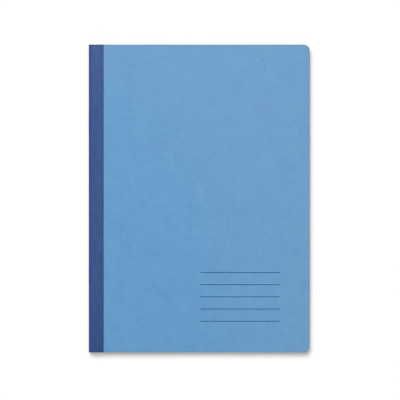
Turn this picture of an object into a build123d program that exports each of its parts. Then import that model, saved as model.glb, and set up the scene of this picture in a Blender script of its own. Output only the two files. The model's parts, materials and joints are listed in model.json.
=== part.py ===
# A stapled exercise book: folded sheets nested in a folded board cover, stitched through the fold
# by two wire staples, with a cloth tape glued round the spine over the staples.
# Frame: the book lies on its back cover, spine along Y at the low-X side, head towards +Y, +Z up.
# The origin is the bottom centre of the closed book's box.

import os

from build123d import *

# Driving dimensions, in millimetres
leaf_width = 148.0  # hinge line at the fold to the trimmed fore edge
book_height = 210.0  # tail to head
corner_radius = 4.0  # fore-edge corners, cut through cover and leaves together
sheet_count = 16  # folded sheets, two leaves each
paper_thickness = 0.1
leaf_air = 0.02  # air between neighbouring leaves
cover_thickness = 0.45  # pressboard
tape_thickness = 0.2  # binding cloth
tape_bed = 0.05  # depth the glued tape beds into the board
tape_showing = 10.3  # tape seen from the front, spine edge to tape edge
wire_diameter = 0.45  # staple wire
crown_length = 12.0  # staple crown, leg to leg
clinch_length = 4.6  # bent-over leg ends inside the centre fold
crown_bed = 0.35  # depth the crown is driven into the folded board, so the spine stays nearly straight
staple_spacing = 105.0  # between the two staples, centre to centre
pierce_clearance = 0.03  # round the wire, in every slit and hollow it makes
clinch_clearance = 0.1  # from the clinched wire to the leaves beside it
clinch_seat_gap = 0.05  # from the clinched wire to the centre fold it lies against

# Sizes that follow
wire_radius = wire_diameter / 2
pierced_radius = wire_radius + pierce_clearance
bend_radius = wire_diameter  # of the wire's centre line at each staple bend
slit_width = 2 * pierced_radius
slit_length = bend_radius + pierced_radius  # a leg with its bends, which turn towards the staple's middle
slit_offset = (crown_length + pierced_radius - bend_radius) / 2  # staple's middle to each slit's middle
fold_reach = wire_diameter  # straight stretch of every fold, so that leaves turn clear of the staple legs
leaf_pitch = paper_thickness + leaf_air
centre_fold_radius = wire_radius + clinch_clearance  # inside the innermost sheet
cover_inner_radius = centre_fold_radius + sheet_count * leaf_pitch
cover_outer_radius = cover_inner_radius + cover_thickness
tape_inner_radius = cover_outer_radius - tape_bed
tape_outer_radius = tape_inner_radius + tape_thickness
crown_radius = cover_outer_radius - crown_bed + wire_radius  # hinge line to the crown's centre line
blister_radius = pierced_radius + tape_thickness  # the tape where it passes over a crown
tape_reach = tape_showing - tape_outer_radius  # hinge line to the tape's edge on each cover
overall_width = leaf_width + crown_radius + blister_radius

# Places: the hinge line is the axis of all the folds
hinge_x = crown_radius + blister_radius - overall_width / 2
hinge_z = tape_outer_radius
hinge_plane = Plane(origin=(hinge_x, 0, hinge_z), x_dir=(1, 0, 0), z_dir=(0, -1, 0))
spine_plane = Plane(origin=(hinge_x, 0, hinge_z), x_dir=(0, 1, 0), z_dir=(-1, 0, 0))  # faces out of the spine
middle_plane = Plane.XY.offset(hinge_z)
crown_x = hinge_x - crown_radius
clinch_x = hinge_x - centre_fold_radius + clinch_seat_gap + wire_radius
staple_places = {"staple_head": staple_spacing / 2, "staple_tail": -staple_spacing / 2}


def save(part, name):
    part.label = name
    export_step(part, f"parts/{name}.step")


def panel(distance, thickness):
    # A flat leaf or cover of the front half, its near face this far from the hinge line
    with BuildPart() as flat_panel:
        with BuildSketch(Plane.XY.offset(hinge_z + distance)) as outline:
            with Locations((hinge_x + fold_reach, 0)):
                Rectangle(leaf_width - fold_reach, book_height, align=(Align.MIN, Align.CENTER))
            fillet(outline.vertices().group_by(Axis.X)[-1], radius=corner_radius)
        extrude(amount=thickness)
    return flat_panel.part


def fold_outline(radius):
    # The D-shaped outline that a fold of this radius closes round, about the hinge line
    with BuildSketch() as outline:
        with BuildLine():
            Line((fold_reach, radius), (0, radius))
            CenterArc((0, 0), radius, 90, 180)
            Polyline((0, -radius), (fold_reach, -radius), (fold_reach, radius))
        make_face()
    return outline.sketch


def fold(inner_radius, outer_radius):
    # The bent back of a sheet or of the cover, with the slits that the staples' legs cut through it
    with BuildPart() as bent:
        with BuildSketch(hinge_plane):
            add(fold_outline(outer_radius))
            add(fold_outline(inner_radius), mode=Mode.SUBTRACT)
        extrude(amount=book_height / 2, both=True)
        with BuildSketch(spine_plane):
            for centre_y in staple_places.values():
                with Locations((centre_y + slit_offset, 0), (centre_y - slit_offset, 0)):
                    Rectangle(slit_length, slit_width)
        extrude(amount=outer_radius, mode=Mode.SUBTRACT)
    return bent.part


def crown_bars(radius):
    # A round-ended bar of this radius along each staple's crown
    with BuildPart() as bars:
        for centre_y in staple_places.values():
            with Locations((crown_x, centre_y, hinge_z)):
                Cylinder(radius, crown_length, rotation=(90, 0, 0))
                with Locations((0, crown_length / 2, 0), (0, -crown_length / 2, 0)):
                    Sphere(radius)
    return bars.part


def back_twin(front_part):
    # The same piece in the back half of the book
    with BuildPart() as twin:
        mirror(front_part, about=middle_plane)
    return twin.part


os.makedirs("parts", exist_ok=True)

# Sheets, numbered from the outermost to the centre
for number in range(1, sheet_count + 1):
    leaf_distance = centre_fold_radius + (sheet_count - number) * leaf_pitch
    front_leaf = panel(leaf_distance, paper_thickness)
    save(front_leaf, f"sheet_{number:02d}_front_leaf")
    save(back_twin(front_leaf), f"sheet_{number:02d}_back_leaf")
    save(fold(leaf_distance, leaf_distance + paper_thickness), f"sheet_{number:02d}_fold")

# Cover boards, with a shallow bed where the tape is glued
with BuildPart() as front_cover:
    add(panel(cover_inner_radius, cover_thickness))
    with BuildSketch(Plane.XY.offset(hinge_z + cover_outer_radius)):
        with Locations((hinge_x + fold_reach, 0)):
            Rectangle(tape_reach - fold_reach, book_height, align=(Align.MIN, Align.CENTER))
    extrude(amount=-tape_bed, mode=Mode.SUBTRACT)
save(front_cover.part, "front_cover")
save(back_twin(front_cover.part), "back_cover")

# Cover fold, with a groove that each staple's crown is driven into
with BuildPart() as cover_fold:
    add(fold(cover_inner_radius, tape_inner_radius))
    with BuildSketch(spine_plane.offset(crown_radius - pierced_radius)):
        for centre_y in staple_places.values():
            with Locations((centre_y, 0)):
                Rectangle(crown_length + 2 * pierced_radius, slit_width)
    extrude(amount=tape_outer_radius, mode=Mode.SUBTRACT)
save(cover_fold.part, "cover_fold")

# Spine tape: a strip on each cover and the wrap between them
with BuildPart() as spine_tape_front:
    with BuildSketch(Plane.XY.offset(hinge_z + tape_inner_radius)):
        with Locations((hinge_x + fold_reach, 0)):
            Rectangle(tape_reach - fold_reach, book_height, align=(Align.MIN, Align.CENTER))
    extrude(amount=tape_thickness)
save(spine_tape_front.part, "spine_tape_front")
save(back_twin(spine_tape_front.part), "spine_tape_back")

with BuildPart() as spine_tape_wrap:
    with BuildSketch(hinge_plane):
        add(fold_outline(tape_outer_radius))
    extrude(amount=book_height / 2, both=True)
    add(crown_bars(blister_radius))
    with BuildSketch(hinge_plane):
        add(fold_outline(tape_inner_radius))
    extrude(amount=book_height / 2, both=True, mode=Mode.SUBTRACT)
    add(crown_bars(pierced_radius), mode=Mode.SUBTRACT)
save(spine_tape_wrap.part, "spine_tape_wrap")

# Staples: crown outside the cover, legs through every fold, ends clinched towards each other inside
for name, centre_y in staple_places.items():
    head_y = centre_y + crown_length / 2
    tail_y = centre_y - crown_length / 2
    with BuildPart() as staple:
        with BuildLine() as route:
            FilletPolyline(
                (clinch_x, head_y - clinch_length, hinge_z),
                (clinch_x, head_y, hinge_z),
                (crown_x, head_y, hinge_z),
                (crown_x, tail_y, hinge_z),
                (clinch_x, tail_y, hinge_z),
                (clinch_x, tail_y + clinch_length, hinge_z),
                radius=bend_radius,
            )
        with BuildSketch(Plane(origin=route.line @ 0, z_dir=route.line % 0)):
            Circle(wire_radius)
        sweep()
    save(staple.part, name)
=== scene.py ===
import json
import math

import bpy
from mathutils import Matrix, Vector


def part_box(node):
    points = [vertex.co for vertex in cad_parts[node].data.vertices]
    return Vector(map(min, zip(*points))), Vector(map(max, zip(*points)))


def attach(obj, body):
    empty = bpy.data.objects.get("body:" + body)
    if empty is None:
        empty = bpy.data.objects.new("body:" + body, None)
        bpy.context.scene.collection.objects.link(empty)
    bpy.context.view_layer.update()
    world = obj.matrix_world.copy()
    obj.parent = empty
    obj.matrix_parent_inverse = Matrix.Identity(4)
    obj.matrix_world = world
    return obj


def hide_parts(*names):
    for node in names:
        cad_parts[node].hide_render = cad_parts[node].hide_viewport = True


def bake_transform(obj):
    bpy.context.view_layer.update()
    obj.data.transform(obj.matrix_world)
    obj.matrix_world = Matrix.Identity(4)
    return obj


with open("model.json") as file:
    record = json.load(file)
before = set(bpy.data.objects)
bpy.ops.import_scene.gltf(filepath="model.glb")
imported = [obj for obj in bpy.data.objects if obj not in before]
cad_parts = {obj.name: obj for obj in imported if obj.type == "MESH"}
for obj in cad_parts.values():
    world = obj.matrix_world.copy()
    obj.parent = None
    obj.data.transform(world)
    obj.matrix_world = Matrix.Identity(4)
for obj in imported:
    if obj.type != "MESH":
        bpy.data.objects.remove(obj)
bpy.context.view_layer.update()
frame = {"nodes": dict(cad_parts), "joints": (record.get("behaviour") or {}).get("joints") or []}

mm = 0.001
tiny = 0.001 * mm

# Places read from the frame: every fold turns about the hinge line, which runs along Y
hinge = Vector(frame["joints"][0]["pos_m"])
boardLow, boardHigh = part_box("front_cover")
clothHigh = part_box("spine_tape_front")[1]
foreEdge = boardHigh.x
halfHeight = boardHigh.y
boardInside = boardLow.z - hinge.z  # distances from the hinge line
boardOutside = boardHigh.z - hinge.z
clothOutside = clothHigh.z - hinge.z
clothRadius = (boardOutside + clothOutside) / 2
stapleNames = ("staple_head", "staple_tail")
sheetNumbers = sorted(name.split("_")[1] for name in frame["nodes"] if name.endswith("_front_leaf"))
print("frame: hinge at", [round(place / mm, 3) for place in hinge], "mm,", len(sheetNumbers), "sheets")


# Node and colour helpers

def hexColour(text):
    values = [int(text[at:at + 2], 16) / 255 for at in (0, 2, 4)]
    linear = [v / 12.92 if v <= 0.04045 else ((v + 0.055) / 1.055) ** 2.4 for v in values]
    return (*linear, 1.0)


def addNode(tree, kind, settings=None, links=None):
    # settings: a node's own property, or an input's value by name or number
    # links: from an input, by name or number, to the output socket that feeds it
    # A Mix node repeats its names, so its sockets go by number: colours in at 6 and 7 and out at 2,
    # plain numbers in at 2 and 3 and out at 0
    node = tree.nodes.new(kind)
    for key, value in (settings or {}).items():
        if isinstance(key, int) or key in node.inputs:
            node.inputs[key].default_value = value
        else:
            setattr(node, key, value)
    for key, source in (links or {}).items():
        tree.links.new(source, node.inputs[key])
    return node


def newMaterial(name, settings):
    material = bpy.data.materials.new(name)
    material.use_nodes = True
    shader = material.node_tree.nodes["Principled BSDF"]
    for key, value in settings.items():
        shader.inputs[key].default_value = value
    return material, material.node_tree, shader


# Materials

pressboard = {
    "deepHex": "5C92C5",
    "paleHex": "6AA2CF",
    "sheenDeepHex": "6394C3",  # painted sheen: the board is drawn paler away from the tail of the spine, towards the fore edge and head
    "sheenPaleHex": "70A4CD",
    "sheenFromMm": 55.0,
    "sheenToMm": 150.0,
    "sheenAlong": 0.52,  # a step towards the head counts less than one towards the fore edge
    "patchMm": 42.0,
    "patchDetail": 2.0,
    "patchShiftMm": 30.0,  # how unevenly the painted sheen spreads
    "cloudMm": 14.0,  # drifts of fibre in the wet sheet, down to single flocks
    "cloudDetail": 4.0,
    "cloudRoughness": 0.9,
    "cloudShare": 0.5,
    "fibreMm": 0.9,  # real hairs are finer; drawn as coarse as they need to show
    "fibreStretch": 5.0,  # length to width
    "fibreTurns": (0.2, -0.35),  # radians from square to the spine, because the hairs cross each other
    "fibreDetail": 2.0,
    "fibreWander": 0.8,
    "fibreShare": 0.58,
    "toneFrom": 0.33,
    "toneTo": 0.75,
    "bumpMm": 0.012,
    "bumpStrength": 0.5,
    "roughness": 0.66,
    "roughnessSwing": 0.06,
    "ior": 1.47,
    "specular": 0.4,
}


def makePressboard():
    # Calendered pressboard: dyed pulp pressed hard between rollers, so it is smooth and satin,
    # with soft clouds of fibre and short hairs in the same dye; a painted sheen pales it away from the
    # spine's tail
    values = pressboard
    material, tree, shader = newMaterial(
        "calenderedPressboard", {"IOR": values["ior"], "Specular IOR Level": values["specular"]}
    )
    flat = addNode(tree, "ShaderNodeUVMap", {"uv_map": "flatSheet"}).outputs["UV"]
    clouds = addNode(
        tree,
        "ShaderNodeTexNoise",
        {
            "noise_dimensions": "2D",
            "Scale": 1 / (values["cloudMm"] * mm),
            "Detail": values["cloudDetail"],
            "Roughness": values["cloudRoughness"],
        },
        {"Vector": flat},
    ).outputs["Fac"]
    mottle = addNode(
        tree, "ShaderNodeMath", {"operation": "MULTIPLY", 1: values["cloudShare"]}, {0: clouds}
    ).outputs[0]
    for turn in values["fibreTurns"]:
        lie = addNode(
            tree,
            "ShaderNodeMapping",
            {
                "vector_type": "TEXTURE",
                "Rotation": (0, 0, turn),
                "Scale": (values["fibreStretch"], 1, 1),
            },
            {"Vector": flat},
        ).outputs["Vector"]
        hairs = addNode(
            tree,
            "ShaderNodeTexNoise",
            {
                "noise_dimensions": "2D",
                "Scale": 1 / (values["fibreMm"] * mm),
                "Detail": values["fibreDetail"],
                "Distortion": values["fibreWander"],
            },
            {"Vector": lie},
        ).outputs["Fac"]
        share = values["fibreShare"] / len(values["fibreTurns"])
        mottle = addNode(
            tree, "ShaderNodeMath", {"operation": "MULTIPLY_ADD", 1: share}, {0: hairs, 2: mottle}
        ).outputs[0]
    spread = addNode(
        tree,
        "ShaderNodeMapRange",
        {"From Min": values["toneFrom"], "From Max": values["toneTo"]},
        {"Value": mottle},
    ).outputs["Result"]
    dyed = addNode(
        tree,
        "ShaderNodeMix",
        {"data_type": "RGBA", 6: hexColour(values["deepHex"]), 7: hexColour(values["paleHex"])},
        {0: spread},
    ).outputs[2]
    # painted sheen: the same mottle in paler colours, mixed in away from the tail of the spine
    sheenColour = addNode(
        tree,
        "ShaderNodeMix",
        {
            "data_type": "RGBA",
            6: hexColour(values["sheenDeepHex"]),
            7: hexColour(values["sheenPaleHex"]),
        },
        {0: spread},
    ).outputs[2]
    along = values["sheenAlong"]
    fromTail = addNode(
        tree,
        "ShaderNodeMapping",
        {"Location": (0, along * halfHeight, 0), "Scale": (1, along, 1)},
        {"Vector": flat},
    ).outputs["Vector"]
    away = addNode(
        tree, "ShaderNodeVectorMath", {"operation": "LENGTH"}, {0: fromTail}
    ).outputs["Value"]
    patches = addNode(
        tree,
        "ShaderNodeTexNoise",
        {
            "noise_dimensions": "2D",
            "Scale": 1 / (values["patchMm"] * mm),
            "Detail": values["patchDetail"],
        },
        {"Vector": flat},
    ).outputs["Fac"]
    uneven = addNode(
        tree,
        "ShaderNodeMath",
        {"operation": "MULTIPLY_ADD", 1: values["patchShiftMm"] * mm},
        {0: patches, 2: away},
    ).outputs[0]
    halfShift = values["patchShiftMm"] / 2
    paintedLight = addNode(
        tree,
        "ShaderNodeMapRange",
        {
            "interpolation_type": "SMOOTHSTEP",
            "From Min": (values["sheenFromMm"] + halfShift) * mm,
            "From Max": (values["sheenToMm"] + halfShift) * mm,
        },
        {"Value": uneven},
    ).outputs["Result"]
    colour = addNode(
        tree, "ShaderNodeMix", {"data_type": "RGBA"}, {0: paintedLight, 6: dyed, 7: sheenColour}
    ).outputs[2]
    rough = addNode(
        tree,
        "ShaderNodeMapRange",
        {
            "To Min": values["roughness"] - values["roughnessSwing"],
            "To Max": values["roughness"] + values["roughnessSwing"],
        },
        {"Value": clouds},
    ).outputs["Result"]
    bump = addNode(
        tree,
        "ShaderNodeBump",
        {"Strength": values["bumpStrength"], "Distance": values["bumpMm"] * mm},
        {"Height": mottle},
    ).outputs["Normal"]
    tree.links.new(colour, shader.inputs["Base Color"])
    tree.links.new(rough, shader.inputs["Roughness"])
    tree.links.new(bump, shader.inputs["Normal"])
    return material


trimmedEdge = {
    "darkHex": "5A859D",
    "paleHex": "7CA8C0",
    "layerMm": 0.09,
    "layerStretch": 10.0,  # how much further a layer runs along the board than through it
    "layerDetail": 2.0,
    "bumpMm": 0.01,
    "bumpStrength": 0.6,
    "roughness": 0.8,
    "ior": 1.45,
}


def makeTrimmedEdge():
    # The same board where the guillotine cut it: matt, a little grey, showing the pressed layers
    values = trimmedEdge
    material, tree, shader = newMaterial(
        "guillotinedBoardEdge", {"Roughness": values["roughness"], "IOR": values["ior"]}
    )
    place = addNode(tree, "ShaderNodeTexCoord").outputs["Object"]
    alongBoard = 1 / values["layerStretch"]
    lie = addNode(
        tree, "ShaderNodeMapping", {"Scale": (alongBoard, alongBoard, 1)}, {"Vector": place}
    ).outputs["Vector"]
    layers = addNode(
        tree,
        "ShaderNodeTexNoise",
        {"Scale": 1 / (values["layerMm"] * mm), "Detail": values["layerDetail"]},
        {"Vector": lie},
    ).outputs["Fac"]
    colour = addNode(
        tree,
        "ShaderNodeMix",
        {"data_type": "RGBA", 6: hexColour(values["darkHex"]), 7: hexColour(values["paleHex"])},
        {0: layers},
    ).outputs[2]
    bump = addNode(
        tree,
        "ShaderNodeBump",
        {"Strength": values["bumpStrength"], "Distance": values["bumpMm"] * mm},
        {"Height": layers},
    ).outputs["Normal"]
    tree.links.new(colour, shader.inputs["Base Color"])
    tree.links.new(bump, shader.inputs["Normal"])
    return material


bindingCloth = {
    "valleyHex": "1C3C72",
    "threadHex": "35568F",
    "threadMm": 0.42,  # real cloth is nearer 0.3; drawn as coarse as it needs to show
    "weaveShare": 0.45,
    "slubMm": 9.0,  # length of the uneven stretches, which run along the tape
    "slubStretch": 6.0,  # length to width
    "slubDetail": 5.0,
    "slubRoughness": 0.65,
    "fade": 0.135,  # painted light: paler towards the head, the side the light falls from
    "toneFrom": 0.42,
    "toneTo": 1.03,
    "bentHex": "294391",
    "bentMm": 4.6,  # from the middle of the spine: the cloth over the bend is drawn bluer
    "bentSoftMm": 0.7,
    "bentMost": 0.5,
    # painted shade on the spine's round, and the darker cut ends, both use this colour
    "shadeAndEndHex": "0E1E3E",
    "shadeLineMm": 1.5,  # from the middle of the spine to each band of painted shade, where the round turns away from the light
    "shadeLineWidthMm": 0.95,
    "shadeAndEndMost": 0.9,
    "cutEndMm": 0.6,  # the cut ends are drawn darker over this length
    "bumpMm": 0.05,
    "bumpStrength": 0.7,
    "roughness": 0.55,
    "ior": 1.45,
    "specular": 0.4,
}


def makeBindingCloth():
    # Woven binding cloth, dyed and sized: plain weave, matt, threads a little uneven in tone,
    # with painted light paler towards the head and painted shade along the spine's round
    values = bindingCloth
    thread = values["threadMm"] * mm
    bandScale = math.pi / (10 * thread)  # a band texture repeats every pi / 10 of its scaled coordinate
    material, tree, shader = newMaterial(
        "wovenBindingCloth",
        {
            "Roughness": values["roughness"],
            "IOR": values["ior"],
            "Specular IOR Level": values["specular"],
        },
    )
    flat = addNode(tree, "ShaderNodeUVMap", {"uv_map": "flatSheet"}).outputs["UV"]
    acrossThreads = addNode(
        tree, "ShaderNodeTexWave", {"bands_direction": "X", "Scale": bandScale}, {"Vector": flat}
    ).outputs["Fac"]
    alongThreads = addNode(
        tree, "ShaderNodeTexWave", {"bands_direction": "Y", "Scale": bandScale}, {"Vector": flat}
    ).outputs["Fac"]
    over = addNode(tree, "ShaderNodeTexChecker", {"Scale": 1 / thread}, {"Vector": flat}).outputs["Fac"]
    weave = addNode(
        tree, "ShaderNodeMix", {"data_type": "FLOAT"}, {0: over, 2: acrossThreads, 3: alongThreads}
    ).outputs[0]
    lie = addNode(
        tree, "ShaderNodeMapping", {"Scale": (values["slubStretch"], 1, 1)}, {"Vector": flat}
    ).outputs["Vector"]
    slubs = addNode(
        tree,
        "ShaderNodeTexNoise",
        {
            "noise_dimensions": "2D",
            "Scale": 1 / (values["slubMm"] * mm),
            "Detail": values["slubDetail"],
            "Roughness": values["slubRoughness"],
        },
        {"Vector": lie},
    ).outputs["Fac"]
    directions = addNode(tree, "ShaderNodeSeparateXYZ", {}, {0: flat}).outputs
    # painted light: the cloth is drawn lighter towards the head
    paintedLight = addNode(
        tree,
        "ShaderNodeMapRange",
        {
            "From Min": -halfHeight,
            "From Max": halfHeight,
            "To Min": -values["fade"],
            "To Max": values["fade"],
        },
        {"Value": directions["Y"]},
    ).outputs["Result"]
    evenness = addNode(tree, "ShaderNodeMath", {"operation": "ADD"}, {0: slubs, 1: paintedLight}).outputs[0]
    tone = addNode(
        tree,
        "ShaderNodeMath",
        {"operation": "MULTIPLY_ADD", 1: values["weaveShare"]},
        {0: weave, 2: evenness},
    ).outputs[0]
    spread = addNode(
        tree,
        "ShaderNodeMapRange",
        {"From Min": values["toneFrom"], "From Max": values["toneTo"]},
        {"Value": tone},
    ).outputs["Result"]
    woven = addNode(
        tree,
        "ShaderNodeMix",
        {"data_type": "RGBA", 6: hexColour(values["valleyHex"]), 7: hexColour(values["threadHex"])},
        {0: spread},
    ).outputs[2]
    spineMiddle = clothRadius * math.pi / 2
    fromMiddle = addNode(
        tree, "ShaderNodeMath", {"operation": "ADD", 1: spineMiddle}, {0: directions["X"]}
    ).outputs[0]
    eitherSide = addNode(tree, "ShaderNodeMath", {"operation": "ABSOLUTE"}, {0: fromMiddle}).outputs[0]
    bent = addNode(
        tree,
        "ShaderNodeMapRange",
        {
            "interpolation_type": "SMOOTHSTEP",
            "From Min": (values["bentMm"] - values["bentSoftMm"]) * mm,
            "From Max": (values["bentMm"] + values["bentSoftMm"]) * mm,
            "To Min": values["bentMost"],
            "To Max": 0.0,
        },
        {"Value": eitherSide},
    ).outputs["Result"]
    bendTinted = addNode(
        tree,
        "ShaderNodeMix",
        {"data_type": "RGBA", 7: hexColour(values["bentHex"])},
        {0: bent, 6: woven},
    ).outputs[2]
    # painted shade: a dark band each side of the spine's middle, where the round turns away from the
    # light
    pastShadeLine = addNode(
        tree, "ShaderNodeMath", {"operation": "SUBTRACT", 1: values["shadeLineMm"] * mm}, {0: eitherSide}
    ).outputs[0]
    offShadeLine = addNode(tree, "ShaderNodeMath", {"operation": "ABSOLUTE"}, {0: pastShadeLine}).outputs[0]
    paintedShade = addNode(
        tree,
        "ShaderNodeMapRange",
        {
            "interpolation_type": "SMOOTHSTEP",
            "From Max": values["shadeLineWidthMm"] * mm,
            "To Min": values["shadeAndEndMost"],
            "To Max": 0.0,
        },
        {"Value": offShadeLine},
    ).outputs["Result"]
    toEnds = addNode(
        tree, "ShaderNodeMath", {"operation": "ABSOLUTE"}, {0: directions["Y"]}
    ).outputs[0]
    cutEnd = addNode(
        tree,
        "ShaderNodeMapRange",
        {
            "interpolation_type": "SMOOTHSTEP",
            "From Min": halfHeight - values["cutEndMm"] * mm,
            "From Max": halfHeight,
            "To Max": values["shadeAndEndMost"],
        },
        {"Value": toEnds},
    ).outputs["Result"]
    darkened = addNode(
        tree, "ShaderNodeMath", {"operation": "MAXIMUM"}, {0: paintedShade, 1: cutEnd}
    ).outputs[0]
    colour = addNode(
        tree,
        "ShaderNodeMix",
        {"data_type": "RGBA", 7: hexColour(values["shadeAndEndHex"])},
        {0: darkened, 6: bendTinted},
    ).outputs[2]
    bump = addNode(
        tree,
        "ShaderNodeBump",
        {"Strength": values["bumpStrength"], "Distance": values["bumpMm"] * mm},
        {"Height": weave},
    ).outputs["Normal"]
    tree.links.new(colour, shader.inputs["Base Color"])
    tree.links.new(bump, shader.inputs["Normal"])
    return material


writingPaper = {
    "paperHex": "F3F0E6",
    "shadeHex": "ECE8DC",
    "fibreMm": 0.6,
    "fibreDetail": 4.0,
    "fibreRoughness": 0.7,
    "fibreShare": 0.5,
    "ruleHex": "A9B7D0",
    "ruleMm": 0.28,
    "pitchMm": 8.0,
    "headMm": 22.0,  # bare strip above the first rule
    "tailMm": 9.0,
    "bumpMm": 0.01,
    "bumpStrength": 0.3,
    "roughness": 0.85,
    "ior": 1.45,
}


def makeWritingPaper():
    # Uncoated writing paper, off-white, matt, with feint ruling that runs off the trimmed edges
    values = writingPaper
    material, tree, shader = newMaterial(
        "feintRuledPaper", {"Roughness": values["roughness"], "IOR": values["ior"]}
    )
    flat = addNode(tree, "ShaderNodeUVMap", {"uv_map": "flatSheet"}).outputs["UV"]
    down = addNode(tree, "ShaderNodeSeparateXYZ", {}, {0: flat}).outputs["Y"]
    fibres = addNode(
        tree,
        "ShaderNodeTexNoise",
        {
            "noise_dimensions": "2D",
            "Scale": 1 / (values["fibreMm"] * mm),
            "Detail": values["fibreDetail"],
            "Roughness": values["fibreRoughness"],
        },
        {"Vector": flat},
    ).outputs["Fac"]
    leafTone = addNode(tree, "ShaderNodeAttribute", {"attribute_name": "leafTone"}).outputs["Fac"]
    tone = addNode(
        tree,
        "ShaderNodeMath",
        {"operation": "MULTIPLY_ADD", 1: values["fibreShare"]},
        {0: fibres, 2: leafTone},
    ).outputs[0]
    paper = addNode(
        tree,
        "ShaderNodeMix",
        {"data_type": "RGBA", 6: hexColour(values["shadeHex"]), 7: hexColour(values["paperHex"])},
        {0: tone},
    ).outputs[2]
    firstRule = halfHeight - values["headMm"] * mm
    lastRule = values["tailMm"] * mm - halfHeight
    fromRule = addNode(
        tree, "ShaderNodeMath", {"operation": "SUBTRACT", 0: firstRule}, {1: down}
    ).outputs[0]
    swing = addNode(
        tree, "ShaderNodeMath", {"operation": "PINGPONG", 1: values["pitchMm"] / 2 * mm}, {0: fromRule}
    ).outputs[0]
    onRule = addNode(
        tree, "ShaderNodeMath", {"operation": "LESS_THAN", 1: values["ruleMm"] / 2 * mm}, {0: swing}
    ).outputs[0]
    belowHead = addNode(
        tree,
        "ShaderNodeMath",
        {"operation": "LESS_THAN", 1: firstRule + values["ruleMm"] * mm},
        {0: down},
    ).outputs[0]
    aboveTail = addNode(
        tree, "ShaderNodeMath", {"operation": "GREATER_THAN", 1: lastRule}, {0: down}
    ).outputs[0]
    inside = addNode(
        tree, "ShaderNodeMath", {"operation": "MULTIPLY"}, {0: belowHead, 1: aboveTail}
    ).outputs[0]
    ruled = addNode(tree, "ShaderNodeMath", {"operation": "MULTIPLY"}, {0: onRule, 1: inside}).outputs[0]
    colour = addNode(
        tree,
        "ShaderNodeMix",
        {"data_type": "RGBA", 7: hexColour(values["ruleHex"])},
        {0: ruled, 6: paper},
    ).outputs[2]
    bump = addNode(
        tree,
        "ShaderNodeBump",
        {"Strength": values["bumpStrength"], "Distance": values["bumpMm"] * mm},
        {"Height": fibres},
    ).outputs["Normal"]
    tree.links.new(colour, shader.inputs["Base Color"])
    tree.links.new(bump, shader.inputs["Normal"])
    return material


paperEdge = {
    "paleHex": "F6F2E8",
    "dullHex": "D4CEC1",
    "leafContrast": 1.3,
    "knifeMm": 0.5,  # drag marks of the blade, square to the leaves
    "knifeDetail": 3.0,
    "knifeShare": 0.35,
    "roughness": 0.92,
    "ior": 1.45,
}


def makePaperEdge():
    # The same paper where the guillotine cut the whole book: matt, each leaf a little lighter or darker
    # than the next, with faint drag marks of the blade running across them all
    values = paperEdge
    material, tree, shader = newMaterial(
        "guillotinedPaperEdge", {"Roughness": values["roughness"], "IOR": values["ior"]}
    )
    flat = addNode(tree, "ShaderNodeUVMap", {"uv_map": "flatSheet"}).outputs["UV"]
    knife = addNode(
        tree,
        "ShaderNodeTexNoise",
        {
            "noise_dimensions": "2D",
            "Scale": 1 / (values["knifeMm"] * mm),
            "Detail": values["knifeDetail"],
        },
        {"Vector": flat},
    ).outputs["Fac"]
    leafTone = addNode(tree, "ShaderNodeAttribute", {"attribute_name": "leafTone"}).outputs["Fac"]
    layered = addNode(
        tree, "ShaderNodeMath", {"operation": "MULTIPLY", 1: values["leafContrast"]}, {0: leafTone}
    ).outputs[0]
    tone = addNode(
        tree,
        "ShaderNodeMath",
        {"operation": "MULTIPLY_ADD", 1: values["knifeShare"]},
        {0: knife, 2: layered},
    ).outputs[0]
    colour = addNode(
        tree,
        "ShaderNodeMix",
        {"data_type": "RGBA", 6: hexColour(values["dullHex"]), 7: hexColour(values["paleHex"])},
        {0: tone},
    ).outputs[2]
    tree.links.new(colour, shader.inputs["Base Color"])
    return material


stapleWire = {
    "brightHex": "C9CBCC",
    "dullHex": "9EA2A5",
    "spangleMm": 0.3,
    "spangleDetail": 3.0,
    "roughnessFrom": 0.28,
    "roughnessTo": 0.45,
}


def makeStapleWire():
    # Galvanised drawn wire: zinc grey, half bright, its coating a little uneven in gloss
    values = stapleWire
    material, tree, shader = newMaterial("galvanisedWire", {"Metallic": 1.0})
    place = addNode(tree, "ShaderNodeTexCoord").outputs["Object"]
    spangle = addNode(
        tree,
        "ShaderNodeTexNoise",
        {"Scale": 1 / (values["spangleMm"] * mm), "Detail": values["spangleDetail"]},
        {"Vector": place},
    ).outputs["Fac"]
    colour = addNode(
        tree,
        "ShaderNodeMix",
        {"data_type": "RGBA", 6: hexColour(values["dullHex"]), 7: hexColour(values["brightHex"])},
        {0: spangle},
    ).outputs[2]
    rough = addNode(
        tree,
        "ShaderNodeMapRange",
        {"To Min": values["roughnessFrom"], "To Max": values["roughnessTo"]},
        {"Value": spangle},
    ).outputs["Result"]
    tree.links.new(colour, shader.inputs["Base Color"])
    tree.links.new(rough, shader.inputs["Roughness"])
    return material


lineInk = {
    "fullHex": "083C66",
    "thinHex": "124E7C",
    "grainMm": 0.5,
    "grainDetail": 3.0,
    "roughness": 0.7,
    "specular": 0.2,
}


def makeLineInk():
    # Offset printing ink on board: a dark blue film so thin that the board's grain breaks it a little
    values = lineInk
    material, tree, shader = newMaterial(
        "printedLineInk", {"Roughness": values["roughness"], "Specular IOR Level": values["specular"]}
    )
    place = addNode(tree, "ShaderNodeTexCoord").outputs["Object"]
    grain = addNode(
        tree,
        "ShaderNodeTexNoise",
        {"Scale": 1 / (values["grainMm"] * mm), "Detail": values["grainDetail"]},
        {"Vector": place},
    ).outputs["Fac"]
    colour = addNode(
        tree,
        "ShaderNodeMix",
        {"data_type": "RGBA", 6: hexColour(values["fullHex"]), 7: hexColour(values["thinHex"])},
        {0: grain},
    ).outputs[2]
    tree.links.new(colour, shader.inputs["Base Color"])
    return material


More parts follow.
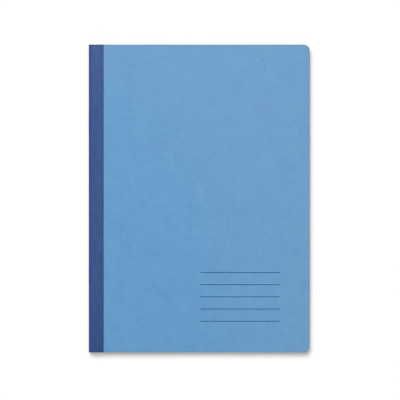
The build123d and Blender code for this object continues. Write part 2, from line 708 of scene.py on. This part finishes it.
boardFinish = makePressboard()
edgeFinish = makeTrimmedEdge()
clothFinish = makeBindingCloth()
paperFinish = makeWritingPaper()
leafEdgeFinish = makePaperEdge()
wireFinish = makeStapleWire()
inkFinish = makeLineInk()
print("materials:", len(bpy.data.materials))


# Modelling helpers

outline = {
    "cornerMm": 4.0,  # rounded fore-edge corners
    "cornerSteps": 10,
}
facing = 0.5  # a face looks along an axis where its normal reaches this
softAngle = math.radians(35)  # edges flatter than this are shaded as one surface


def objectMode():
    if bpy.context.object and bpy.context.object.mode != "OBJECT":
        bpy.ops.object.mode_set(mode="OBJECT")


def activate(piece):
    objectMode()
    bpy.ops.object.select_all(action="DESELECT")
    piece.select_set(True)
    bpy.context.view_layer.objects.active = piece


def pick(piece, kind, test):
    # Leaves the piece in edit mode with the edges or faces that pass the test selected
    activate(piece)
    bpy.ops.object.mode_set(mode="EDIT")
    bpy.ops.mesh.select_mode(type=kind)
    bpy.ops.mesh.select_all(action="DESELECT")
    bpy.ops.object.mode_set(mode="OBJECT")
    items = {"EDGE": piece.data.edges, "FACE": piece.data.polygons}[kind]
    for item in items:
        item.select = test(item)
    bpy.ops.object.mode_set(mode="EDIT")


def edgeEnds(mesh, edge):
    return [mesh.vertices[number].co for number in edge.vertices]


def pointOutwards(piece):
    activate(piece)
    bpy.ops.object.mode_set(mode="EDIT")
    bpy.ops.mesh.select_all(action="SELECT")
    bpy.ops.mesh.normals_make_consistent(inside=False)
    bpy.ops.object.mode_set(mode="OBJECT")


def addBlock(name, low, high):
    bpy.ops.object.select_all(action="DESELECT")
    middle = [(a + b) / 2 for a, b in zip(low, high)]
    size = [b - a for a, b in zip(low, high)]
    bpy.ops.mesh.primitive_cube_add(size=1, location=middle, scale=size)
    piece = bpy.context.object
    piece.name = name
    piece.data.name = name
    bpy.ops.object.transform_apply(location=True, rotation=True, scale=True)
    return piece


def copyPiece(piece, name):
    activate(piece)
    bpy.ops.object.duplicate(linked=False)
    twin = bpy.context.object
    twin.name = name
    twin.data.name = name
    return twin


def cutAcross(piece, places, direction):
    # Adds a line of edges all round the piece at each place
    activate(piece)
    bpy.ops.object.mode_set(mode="EDIT")
    for place in places:
        bpy.ops.mesh.select_all(action="SELECT")
        bpy.ops.mesh.bisect(plane_co=place, plane_no=direction)
    bpy.ops.object.mode_set(mode="OBJECT")


def flatPanel(name, near, far, end, linesMm):
    # A flat board, leaf or strip of the front half, from the hinge line to its free edge
    panel = addBlock(name, (hinge.x, -halfHeight, hinge.z + near), (end, halfHeight, hinge.z + far))
    cutAcross(panel, [(hinge.x + distance * mm, 0, 0) for distance in linesMm], (1, 0, 0))
    return panel


def roundCorners(panel):
    mesh = panel.data

    def cornerEdge(edge):
        a, b = edgeEnds(mesh, edge)
        return abs(a.z - b.z) > tiny and min(a.x, b.x) > foreEdge - tiny

    pick(panel, "EDGE", cornerEdge)
    bpy.ops.mesh.bevel(offset=outline["cornerMm"] * mm, segments=outline["cornerSteps"], affect="EDGES")
    bpy.ops.object.mode_set(mode="OBJECT")


def rollRim(panel, top, rollMm, steps):
    # Rounds the outline of the upper face, all but the side at the hinge line
    mesh = panel.data
    end = max(vertex.co.x for vertex in mesh.vertices)

    def onRim(edge):
        a, b = edgeEnds(mesh, edge)
        middle = (a + b) / 2
        crossLine = abs(a.y - b.y) > halfHeight and middle.x < end - tiny
        return min(a.z, b.z) > top - tiny and not crossLine

    pick(panel, "EDGE", onRim)
    bpy.ops.mesh.bevel(offset=rollMm * mm, segments=steps, affect="EDGES")
    bpy.ops.object.mode_set(mode="OBJECT")


def bendSpine(panel, steps):
    # Spins the end at the hinge line a quarter turn, down to the middle of the spine
    pick(panel, "FACE", lambda face: face.center.x < hinge.x + tiny and face.normal.x < -facing)
    bpy.ops.mesh.spin(steps=steps, angle=math.radians(90), center=hinge, axis=(0, 1, 0))
    bpy.ops.object.mode_set(mode="OBJECT")
    pointOutwards(panel)


def layFlat(piece, radius, back):
    # A map of the sheet as it lies before folding, in metres: across from the hinge line, and along Y
    layer = piece.data.uv_layers.get("flatSheet") or piece.data.uv_layers.new(name="flatSheet")
    for loop in piece.data.loops:
        place = piece.data.vertices[loop.vertex_index].co
        across = place.x - hinge.x
        if across < 0:
            across = -radius * math.atan2(-across, abs(place.z - hinge.z))
        if back:
            across = -math.pi * radius - across
        layer.data[loop.index].uv = (across, place.y)


def backTwin(piece, name):
    twin = copyPiece(piece, name)
    bpy.ops.transform.resize(value=(1, 1, -1), center_override=hinge)
    bpy.ops.object.transform_apply(location=True, rotation=True, scale=True)
    pointOutwards(twin)
    return twin


def smooth(piece):
    activate(piece)
    bpy.ops.object.shade_smooth_by_angle(angle=softAngle)


def giveFinish(piece, *finishes):
    piece.data.materials.clear()
    for finish in finishes:
        piece.data.materials.append(finish)


def bendWith(piece):
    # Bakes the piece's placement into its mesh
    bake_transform(piece)


# Cover boards

coverBoard = {
    "linesMm": [0.5, 1, 1.5, 2, 2.5, 3, 3.5, 4.2, 5.2, 7],
    "bendSteps": 24,
    "bendReachMm": 3.4,
    "rollMm": 0.34,  # the edge that the guillotine pressed down
    "rollSteps": 3,
    "levelFrom": 0.99,  # a face that leans more than this belongs to the cut edge
}


def makeCovers():
    values = coverBoard
    front = flatPanel("front_board", boardInside, boardOutside, foreEdge, values["linesMm"])
    roundCorners(front)
    rollRim(front, boardHigh.z, values["rollMm"], values["rollSteps"])
    bendSpine(front, values["bendSteps"])
    radius = (boardInside + boardOutside) / 2
    back = backTwin(front, "back_board")
    for piece, side, body in ((front, 1, "front_cover"), (back, -1, "back_cover")):
        layFlat(piece, radius, side < 0)
        giveFinish(piece, boardFinish, edgeFinish)
        for face in piece.data.polygons:
            bent = face.center.x < hinge.x
            cut = abs(face.normal.y) > facing if bent else abs(face.normal.z) < values["levelFrom"]
            face.material_index = 1 if cut else 0
        smooth(piece)
        bendWith(piece)
        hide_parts(body, "cover_fold")
    print("cover boards:", len(front.data.polygons), "faces each")


makeCovers()


# Spine tape

spineTape = {
    "linesMm": [0.5, 1, 1.5, 2, 2.5, 3, 3.5, 4.2, 5.2],
    "bendSteps": 30,
    "bendReachMm": 3.4,
    "seatMm": 0.004,  # glue between cloth and board
    "rollMm": 0.06,  # softness of the cut edge
    "rollSteps": 2,
    "blisterMm": 0.05,  # how far the cloth stands up over a staple's crown
    "blisterWidthMm": 0.62,
    "blisterFadeMm": 0.8,
    "blisterStepMm": 0.4,
}


def liftOverStaples(tape, radius, inside):
    # Raises the cloth over each staple's crown, after cutting it finely enough there
    values = spineTape
    staples = [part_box(name) for name in stapleNames]
    fade = values["blisterFadeMm"] * mm
    crownTop = hinge.x - staples[0][0].x  # from the hinge line
    overCrown = crownTop + values["seatMm"] * mm - inside
    for low, high in staples:
        length = high.y - low.y + 2 * fade
        count = round(length / (values["blisterStepMm"] * mm))
        cuts = [(0, low.y - fade + length * step / count, 0) for step in range(count + 1)]
        cutAcross(tape, cuts, (0, 1, 0))
    for vertex in tape.data.vertices:
        if vertex.co.x > hinge.x:
            continue
        away = Vector((vertex.co.x - hinge.x, 0, vertex.co.z - hinge.z))
        height = values["blisterMm"] * mm if away.length > radius else overCrown
        sideways = (vertex.co.z - hinge.z) / (values["blisterWidthMm"] * mm)
        for low, high in staples:
            past = max(low.y - vertex.co.y, vertex.co.y - high.y, 0) / fade
            lift = math.exp(-sideways * sideways) * max(0, 1 - past * past)
            vertex.co += away.normalized() * height * lift


def makeTape():
    values = spineTape
    inside = boardOutside + values["seatMm"] * mm
    radius = (inside + clothOutside) / 2
    front = flatPanel("front_tape", inside, clothOutside, clothHigh.x, values["linesMm"])
    rollRim(front, clothHigh.z, values["rollMm"], values["rollSteps"])
    bendSpine(front, values["bendSteps"])
    liftOverStaples(front, radius, inside)
    back = backTwin(front, "back_tape")
    for piece, side, body, node, board in (
        (front, 1, "front_cover", "spine_tape_front", "front_board"),
        (back, -1, "back_cover", "spine_tape_back", "back_board"),
    ):
        layFlat(piece, radius, side < 0)
        giveFinish(piece, clothFinish)
        smooth(piece)
        bendWith(piece)
        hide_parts(node, "spine_tape_wrap")
    print("spine tape:", len(front.data.polygons), "faces each")


makeTape()


# Leaves

leaves = {
    "gutterLines": 22,  # cross lines where the leaf bends
    "gutterMm": 4.4,
    "flatLinesMm": [5, 6, 7.5, 9, 11, 14, 18, 23, 30],
    "bendSteps": 14,
    "settleMm": 30.0,  # the leaves close up over this far from the staples
    "centreGapMm": 0.05,  # left on each side of the middle of the book
    "outerReachMm": 3.5,
    "reachStepMm": 0.02,  # each leaf nearer the centre bends a little further out
    "trimMm": 0.05,  # unevenness of the trimmed edges
    "toneTurn": 2.4,  # radians of a sine from leaf to leaf: uneven, and the same in every run
    "toneShare": 0.5,
}


def settle(share):
    # Eases in and out from 0 to 1
    return share * share * (3 - 2 * share)


def makeLeaves():
    values = leaves
    low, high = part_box(f"sheet_{sheetNumbers[-1]}_front_leaf")
    thickness = high.z - low.z
    centreNear = low.z - hinge.z
    gutterStep = values["gutterMm"] / values["gutterLines"]
    linesMm = [gutterStep * (line + 1) for line in range(values["gutterLines"])] + values["flatLinesMm"]
    pattern = flatPanel("leaf_pattern", 0, thickness, foreEdge, linesMm)
    roundCorners(pattern)
    for order, number in enumerate(sheetNumbers, start=1):
        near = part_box(f"sheet_{number}_front_leaf")[0].z - hinge.z
        share = (order - 1) / (len(sheetNumbers) - 1)
        drop = (centreNear - values["centreGapMm"] * mm) * share
        tone = (1 + math.sin(values["toneTurn"] * order)) / 2
        trim = values["trimMm"] * mm * tone
        front = copyPiece(pattern, f"front_leaf_{number}")
        for vertex in front.data.vertices:
            along = min((vertex.co.x - hinge.x) / (values["settleMm"] * mm), 1)
            vertex.co.z += near - drop * settle(along)
            vertex.co.x -= trim * along
            vertex.co.y *= 1 - trim / halfHeight
        bendSpine(front, values["bendSteps"])
        radius = near + thickness / 2
        back = backTwin(front, f"back_leaf_{number}")
        for piece, side, half in ((front, 1, "front"), (back, -1, "back")):
            layFlat(piece, radius, side < 0)
            shade = piece.data.attributes.new("leafTone", "FLOAT", "POINT")
            shade.data.foreach_set("value", [values["toneShare"] * tone] * len(piece.data.vertices))
            giveFinish(piece, paperFinish, leafEdgeFinish)
            for face in piece.data.polygons:
                foreFace = face.normal.x > facing and face.center.x > hinge.x
                face.material_index = 1 if foreFace or abs(face.normal.y) > facing else 0
            smooth(piece)
            bendWith(piece)
            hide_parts(f"sheet_{number}_{half}_leaf", f"sheet_{number}_fold")
    bpy.data.objects.remove(pattern)
    print("leaves:", 2 * len(sheetNumbers))


makeLeaves()


# Staples keep their CAD shape

for name in stapleNames:
    giveFinish(frame["nodes"][name], wireFinish)
print("staples:", len(stapleNames))


# Name lines printed on the front board

nameLines = {
    "count": 5,
    "lengthMm": 54.2,
    "widthMm": 0.46,
    "filmMm": 0.012,
    "pitchMm": 8.31,
    "fromForeEdgeMm": 20.5,  # right-hand ends
    "fromTailMm": 21.25,  # lowest line
    "endRound": 0.98,  # radius of the ends, as a share of half the width
    "endSteps": 4,
}


def makeNameLines():
    values = nameLines
    right = foreEdge - values["fromForeEdgeMm"] * mm
    left = right - values["lengthMm"] * mm
    lowest = -halfHeight + values["fromTailMm"] * mm
    half = values["widthMm"] / 2 * mm
    film = values["filmMm"] * mm
    stroke = addBlock(
        "name_line_1",
        (left, lowest - half, boardHigh.z - film),
        (right, lowest + half, boardHigh.z + film),
    )
    mesh = stroke.data

    def endEdge(edge):
        a, b = edgeEnds(mesh, edge)
        return abs(a.z - b.z) > tiny

    pick(stroke, "EDGE", endEdge)
    bpy.ops.mesh.bevel(offset=half * values["endRound"], segments=values["endSteps"], affect="EDGES")
    bpy.ops.object.mode_set(mode="OBJECT")
    strokes = [stroke]
    for order in range(1, values["count"]):
        strokes.append(copyPiece(stroke, f"name_line_{order + 1}"))
        bpy.ops.transform.translate(value=(0, order * values["pitchMm"] * mm, 0))
        bpy.ops.object.transform_apply(location=True, rotation=True, scale=True)
    activate(stroke)
    for other in strokes:
        other.select_set(True)
    bpy.ops.object.join()
    lines = bpy.context.object
    lines.name = "name_lines"
    lines.data.name = "name_lines"
    giveFinish(lines, inkFinish)
    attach(lines, "front_cover")
    print("name lines:", values["count"])


makeNameLines()


# Floor, light and camera

studio = {
    "floorHex": "F9F9F9",
    "floorRoughness": 0.95,
    "floorWidth": 6.0,  # in metres, like the next two values and the lamps' places and sizes
    "whiteFrom": 0.22,  # further out the floor turns into plain white
    "whiteTo": 0.60,
    "floorGapMm": 0.02,  # keeps the floor clear of the back board
    "floorGlow": 0.12,  # what the camera sees on top of the lit floor, so that it ends white
    "skyHex": "FFFFFF",
    "worldStrength": 0.20,
    "lamps": {
        "softbox": {"place": (-1.85, 4.70, 7.80), "width": 7.0, "depth": 6.5, "watts": 772.0},
        "frontFill": {"place": (0.20, -3.00, 1.40), "width": 3.0, "depth": 2.2, "watts": 23.5},
    },
}


def seenDirectly(tree):
    # 1 where the eye, a reflection or a view through glass meets the surroundings
    light = addNode(tree, "ShaderNodeLightPath").outputs
    mirrored = addNode(
        tree,
        "ShaderNodeMath",
        {"operation": "ADD"},
        {0: light["Is Glossy Ray"], 1: light["Is Transmission Ray"]},
    ).outputs[0]
    return addNode(
        tree,
        "ShaderNodeMath",
        {"operation": "ADD", "use_clamp": True},
        {0: light["Is Camera Ray"], 1: mirrored},
    ).outputs[0]


def makeFloor():
    bpy.ops.object.select_all(action="DESELECT")
    place = (0, 0, -studio["floorGapMm"] * mm)
    bpy.ops.mesh.primitive_plane_add(size=studio["floorWidth"], location=place)
    floor = bpy.context.object
    floor.name = "floor"
    material, tree, shader = newMaterial(
        "paleFloor",
        {
            "Base Color": hexColour(studio["floorHex"]),
            "Roughness": studio["floorRoughness"],
            "Specular IOR Level": 0.0,
        },
    )
    spot = addNode(tree, "ShaderNodeTexCoord").outputs["Object"]
    radius = addNode(tree, "ShaderNodeVectorMath", {"operation": "LENGTH"}, {0: spot}).outputs["Value"]
    whiteness = addNode(
        tree,
        "ShaderNodeMapRange",
        {
            "interpolation_type": "SMOOTHSTEP",
            "From Min": studio["whiteFrom"],
            "From Max": studio["whiteTo"],
            "To Min": studio["floorGlow"],
        },
        {"Value": radius},
    ).outputs["Result"]
    level = addNode(
        tree, "ShaderNodeMath", {"operation": "MULTIPLY"}, {0: seenDirectly(tree), 1: whiteness}
    ).outputs[0]
    glow = addNode(tree, "ShaderNodeEmission", {}, {"Strength": level}).outputs[0]
    both = addNode(tree, "ShaderNodeAddShader", {}, {0: shader.outputs[0], 1: glow}).outputs[0]
    tree.links.new(both, tree.nodes["Material Output"].inputs["Surface"])
    giveFinish(floor, material)


def makeWorld():
    world = bpy.data.worlds.new("studioWorld")
    bpy.context.scene.world = world
    world.use_nodes = True
    tree = world.node_tree
    tree.nodes.clear()
    sky = hexColour(studio["skyHex"])
    fill = addNode(
        tree, "ShaderNodeBackground", {"Color": sky, "Strength": studio["worldStrength"]}
    ).outputs[0]
    white = addNode(tree, "ShaderNodeBackground", {"Color": sky, "Strength": 1.0}).outputs[0]
    mixed = addNode(
        tree, "ShaderNodeMixShader", {}, {0: seenDirectly(tree), 1: fill, 2: white}
    ).outputs[0]
    addNode(tree, "ShaderNodeOutputWorld", {}, {"Surface": mixed})


def makeLamps():
    for name, values in studio["lamps"].items():
        turn = (-Vector(values["place"])).to_track_quat("-Z", "Y").to_euler()
        bpy.ops.object.light_add(type="AREA", location=values["place"], rotation=turn)
        lamp = bpy.context.object
        lamp.name = name
        lamp.data.shape = "ELLIPSE"
        lamp.data.size = values["width"]
        lamp.data.size_y = values["depth"]
        lamp.data.energy = values["watts"]


photo = {
    "framePx": 400,
    "bookHeightPx": 307.9,
    "bookCentrePx": (199.155, 198.45),
    "lensMm": 200.0,
    "sensorMm": 36.0,
    "clipFromMm": 10.0,
}


def makeCamera():
    values = photo
    perPx = 2 * halfHeight / values["bookHeightPx"]
    frameMiddle = values["framePx"] / 2
    distance = values["framePx"] * perPx / values["sensorMm"] * values["lensMm"]
    bookMiddle = (foreEdge + hinge.x - clothOutside) / 2
    x = bookMiddle + (frameMiddle - values["bookCentrePx"][0]) * perPx
    y = (values["bookCentrePx"][1] - frameMiddle) * perPx
    bpy.ops.object.camera_add(location=(x, y, boardHigh.z + distance), rotation=(0, 0, 0))
    camera = bpy.context.object
    camera.data.lens = values["lensMm"]
    camera.data.sensor_width = values["sensorMm"]
    camera.data.clip_start = values["clipFromMm"] * mm
    bpy.context.scene.camera = camera


makeFloor()
makeWorld()
makeLamps()
makeCamera()
bpy.context.scene.view_settings.view_transform = "Standard"
print("studio: floor, world,", len(studio["lamps"]), "lamps and camera")

objectMode()
